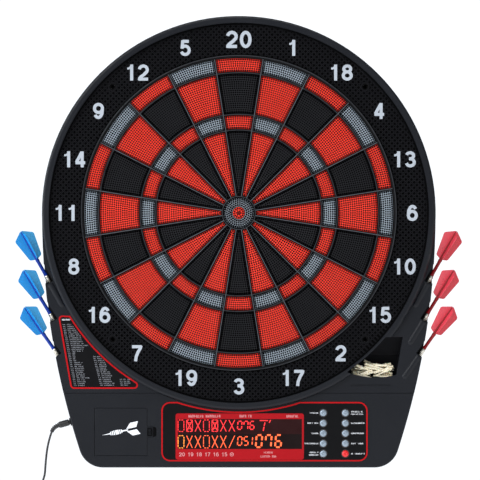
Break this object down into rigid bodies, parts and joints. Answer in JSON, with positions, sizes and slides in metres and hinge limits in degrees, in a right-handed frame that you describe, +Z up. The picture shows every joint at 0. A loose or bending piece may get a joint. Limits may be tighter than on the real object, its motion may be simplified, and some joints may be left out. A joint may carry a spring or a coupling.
{
  "type": "electronic dartboard",
  "caption": "Wall-hung electronic dartboard for soft-tip darts, with sprung target segments, a button and display console, battery door, side dart holders and a plug-in power lead.",
  "frame": {"origin": "centre of the four wall-screw holes, on the board's flat back face, straight behind the bull", "axes": "+X to the right as seen by a player, +Z up, and the front of the board faces -Y; the wall is the plane Y = 0"},
  "size_m": [0.5706, 0.036, 0.7555],
  "materials": {
    "charcoal_plastic": "fine grained",
    "black_plastic": "satin",
    "catch_ring_plastic": "satin",
    "spider_plastic": "satin",
    "foam": "matt",
    "membrane_film": "satin",
    "fibre_board": "raw",
    "circuit_board": "satin",
    "display_glass": "gloss",
    "clear_window": "gloss",
    "panel_print": "gloss",
    "battery_wrap": "gloss",
    "speaker_metal": "satin",
    "cream_plastic": "satin",
    "screw_steel": "zinc plated",
    "socket_plastic": "matt",
    "cord_plastic": "matt",
    "adapter_plastic": "fine grained",
    "red_segment": "satin",
    "black_segment": "satin",
    "grey_segment": "satin",
    "button_silver": "satin",
    "button_red": "gloss",
    "dart_blue": "gloss",
    "dart_red": "gloss"
  },
  "bodies": {
    "board": {"rear_cover": "black_plastic", "upper_housing": "charcoal_plastic", "console_cover": "charcoal_plastic", "catch_ring": "catch_ring_plastic", "spider": "spider_plastic", "foam_sheet": "foam", "sensor_membrane": "membrane_film", "backing_plate": "fibre_board", "circuit_board": "circuit_board", "display_module": "display_glass", "display_window": "clear_window", "panel_overlay": "panel_print", "batteries": "battery_wrap", "speaker": "speaker_metal", "spare_tips": "cream_plastic", "cover_screws": "screw_steel", "dc_jack": "socket_plastic", "dc_plug": "socket_plastic", "cord_tube": "cord_plastic", "cord_coil": "cord_plastic", "adapter": "adapter_plastic"},
    "battery_door": {"battery_door": "charcoal_plastic"},
    "segments_20": {"segments_20": "black_segment"},
    "segments_01": {"segments_01": "red_segment"},
    "segments_18": {"segments_18": "black_segment"},
    "segments_04": {"segments_04": "red_segment"},
    "segments_13": {"segments_13": "black_segment"},
    "segments_06": {"segments_06": "red_segment"},
    "segments_10": {"segments_10": "black_segment"},
    "segments_15": {"segments_15": "red_segment"},
    "segments_02": {"segments_02": "black_segment"},
    "segments_17": {"segments_17": "red_segment"},
    "segments_03": {"segments_03": "black_segment"},
    "segments_19": {"segments_19": "red_segment"},
    "segments_07": {"segments_07": "black_segment"},
    "segments_16": {"segments_16": "red_segment"},
    "segments_08": {"segments_08": "black_segment"},
    "segments_11": {"segments_11": "red_segment"},
    "segments_14": {"segments_14": "black_segment"},
    "segments_09": {"segments_09": "red_segment"},
    "segments_12": {"segments_12": "black_segment"},
    "segments_05": {"segments_05": "red_segment"},
    "outer_bull": {"outer_bull": "grey_segment"},
    "inner_bull": {"inner_bull": "red_segment"},
    "button_power": {"button_power": "button_silver"},
    "button_page_up": {"button_page_up": "button_silver"},
    "button_enter": {"button_enter": "button_silver"},
    "button_page_down": {"button_page_down": "button_silver"},
    "button_volume": {"button_volume": "button_silver"},
    "button_game_select": {"button_game_select": "button_silver"},
    "button_miss": {"button_miss": "button_silver"},
    "button_bounce_out": {"button_bounce_out": "button_silver"},
    "button_language": {"button_language": "button_silver"},
    "button_next_player": {"button_next_player": "button_red"},
    "dart_left_1": {"dart_left_1": "dart_blue"},
    "dart_left_2": {"dart_left_2": "dart_blue"},
    "dart_left_3": {"dart_left_3": "dart_blue"},
    "dart_right_1": {"dart_right_1": "dart_red"},
    "dart_right_2": {"dart_right_2": "dart_red"},
    "dart_right_3": {"dart_right_3": "dart_red"}
  },
  "joints": [
    {"name": "battery_door_hinge", "type": "hinge", "parent": "board", "child": "battery_door", "pos_m": [-0.1822, -0.029, -0.2781], "axis": [0, 0, -1], "range_deg": [0, 100]},
    {"name": "segments_20_press", "type": "slide", "parent": "board", "child": "segments_20", "axis": [0, 1, 0], "range_m": [0, 0.0012], "stiffness_N_per_m": 3000},
    {"name": "segments_01_press", "type": "slide", "parent": "board", "child": "segments_01", "axis": [0, 1, 0], "range_m": [0, 0.0012], "stiffness_N_per_m": 3000},
    {"name": "segments_18_press", "type": "slide", "parent": "board", "child": "segments_18", "axis": [0, 1, 0], "range_m": [0, 0.0012], "stiffness_N_per_m": 3000},
    {"name": "segments_04_press", "type": "slide", "parent": "board", "child": "segments_04", "axis": [0, 1, 0], "range_m": [0, 0.0012], "stiffness_N_per_m": 3000},
    {"name": "segments_13_press", "type": "slide", "parent": "board", "child": "segments_13", "axis": [0, 1, 0], "range_m": [0, 0.0012], "stiffness_N_per_m": 3000},
    {"name": "segments_06_press", "type": "slide", "parent": "board", "child": "segments_06", "axis": [0, 1, 0], "range_m": [0, 0.0012], "stiffness_N_per_m": 3000},
    {"name": "segments_10_press", "type": "slide", "parent": "board", "child": "segments_10", "axis": [0, 1, 0], "range_m": [0, 0.0012], "stiffness_N_per_m": 3000},
    {"name": "segments_15_press", "type": "slide", "parent": "board", "child": "segments_15", "axis": [0, 1, 0], "range_m": [0, 0.0012], "stiffness_N_per_m": 3000},
    {"name": "segments_02_press", "type": "slide", "parent": "board", "child": "segments_02", "axis": [0, 1, 0], "range_m": [0, 0.0012], "stiffness_N_per_m": 3000},
    {"name": "segments_17_press", "type": "slide", "parent": "board", "child": "segments_17", "axis": [0, 1, 0], "range_m": [0, 0.0012], "stiffness_N_per_m": 3000},
    {"name": "segments_03_press", "type": "slide", "parent": "board", "child": "segments_03", "axis": [0, 1, 0], "range_m": [0, 0.0012], "stiffness_N_per_m": 3000},
    {"name": "segments_19_press", "type": "slide", "parent": "board", "child": "segments_19", "axis": [0, 1, 0], "range_m": [0, 0.0012], "stiffness_N_per_m": 3000},
    {"name": "segments_07_press", "type": "slide", "parent": "board", "child": "segments_07", "axis": [0, 1, 0], "range_m": [0, 0.0012], "stiffness_N_per_m": 3000},
    {"name": "segments_16_press", "type": "slide", "parent": "board", "child": "segments_16", "axis": [0, 1, 0], "range_m": [0, 0.0012], "stiffness_N_per_m": 3000},
    {"name": "segments_08_press", "type": "slide", "parent": "board", "child": "segments_08", "axis": [0, 1, 0], "range_m": [0, 0.0012], "stiffness_N_per_m": 3000},
    {"name": "segments_11_press", "type": "slide", "parent": "board", "child": "segments_11", "axis": [0, 1, 0], "range_m": [0, 0.0012], "stiffness_N_per_m": 3000},
    {"name": "segments_14_press", "type": "slide", "parent": "board", "child": "segments_14", "axis": [0, 1, 0], "range_m": [0, 0.0012], "stiffness_N_per_m": 3000},
    {"name": "segments_09_press", "type": "slide", "parent": "board", "child": "segments_09", "axis": [0, 1, 0], "range_m": [0, 0.0012], "stiffness_N_per_m": 3000},
    {"name": "segments_12_press", "type": "slide", "parent": "board", "child": "segments_12", "axis": [0, 1, 0], "range_m": [0, 0.0012], "stiffness_N_per_m": 3000},
    {"name": "segments_05_press", "type": "slide", "parent": "board", "child": "segments_05", "axis": [0, 1, 0], "range_m": [0, 0.0012], "stiffness_N_per_m": 3000},
    {"name": "outer_bull_press", "type": "slide", "parent": "board", "child": "outer_bull", "axis": [0, 1, 0], "range_m": [0, 0.0012], "stiffness_N_per_m": 3000},
    {"name": "inner_bull_press", "type": "slide", "parent": "board", "child": "inner_bull", "axis": [0, 1, 0], "range_m": [0, 0.0012], "stiffness_N_per_m": 3000},
    {"name": "button_power_press", "type": "slide", "parent": "board", "child": "button_power", "axis": [0, 1, 0], "range_m": [0, 0.0015], "stiffness_N_per_m": 600},
    {"name": "button_page_up_press", "type": "slide", "parent": "board", "child": "button_page_up", "axis": [0, 1, 0], "range_m": [0, 0.0015], "stiffness_N_per_m": 600},
    {"name": "button_enter_press", "type": "slide", "parent": "board", "child": "button_enter", "axis": [0, 1, 0], "range_m": [0, 0.0015], "stiffness_N_per_m": 600},
    {"name": "button_page_down_press", "type": "slide", "parent": "board", "child": "button_page_down", "axis": [0, 1, 0], "range_m": [0, 0.0015], "stiffness_N_per_m": 600},
    {"name": "button_volume_press", "type": "slide", "parent": "board", "child": "button_volume", "axis": [0, 1, 0], "range_m": [0, 0.0015], "stiffness_N_per_m": 600},
    {"name": "button_game_select_press", "type": "slide", "parent": "board", "child": "button_game_select", "axis": [0, 1, 0], "range_m": [0, 0.0015], "stiffness_N_per_m": 600},
    {"name": "button_miss_press", "type": "slide", "parent": "board", "child": "button_miss", "axis": [0, 1, 0], "range_m": [0, 0.0015], "stiffness_N_per_m": 600},
    {"name": "button_bounce_out_press", "type": "slide", "parent": "board", "child": "button_bounce_out", "axis": [0, 1, 0], "range_m": [0, 0.0015], "stiffness_N_per_m": 600},
    {"name": "button_language_press", "type": "slide", "parent": "board", "child": "button_language", "axis": [0, 1, 0], "range_m": [0, 0.0015], "stiffness_N_per_m": 600},
    {"name": "button_next_player_press", "type": "slide", "parent": "board", "child": "button_next_player", "axis": [0, 1, 0], "range_m": [0, 0.0015], "stiffness_N_per_m": 600},
    {"name": "dart_left_1_pull", "type": "slide", "parent": "board", "child": "dart_left_1", "axis": [-0.4924, 0, 0.8704], "range_m": [0, 0.075]},
    {"name": "dart_left_2_pull", "type": "slide", "parent": "board", "child": "dart_left_2", "axis": [-0.5225, 0, 0.8526], "range_m": [0, 0.075]},
    {"name": "dart_left_3_pull", "type": "slide", "parent": "board", "child": "dart_left_3", "axis": [-0.5736, 0, 0.8192], "range_m": [0, 0.075]},
    {"name": "dart_right_1_pull", "type": "slide", "parent": "board", "child": "dart_right_1", "axis": [0.4924, 0, 0.8704], "range_m": [0, 0.075]},
    {"name": "dart_right_2_pull", "type": "slide", "parent": "board", "child": "dart_right_2", "axis": [0.5225, 0, 0.8526], "range_m": [0, 0.075]},
    {"name": "dart_right_3_pull", "type": "slide", "parent": "board", "child": "dart_right_3", "axis": [0.5736, 0, 0.8192], "range_m": [0, 0.075]}
  ]
}
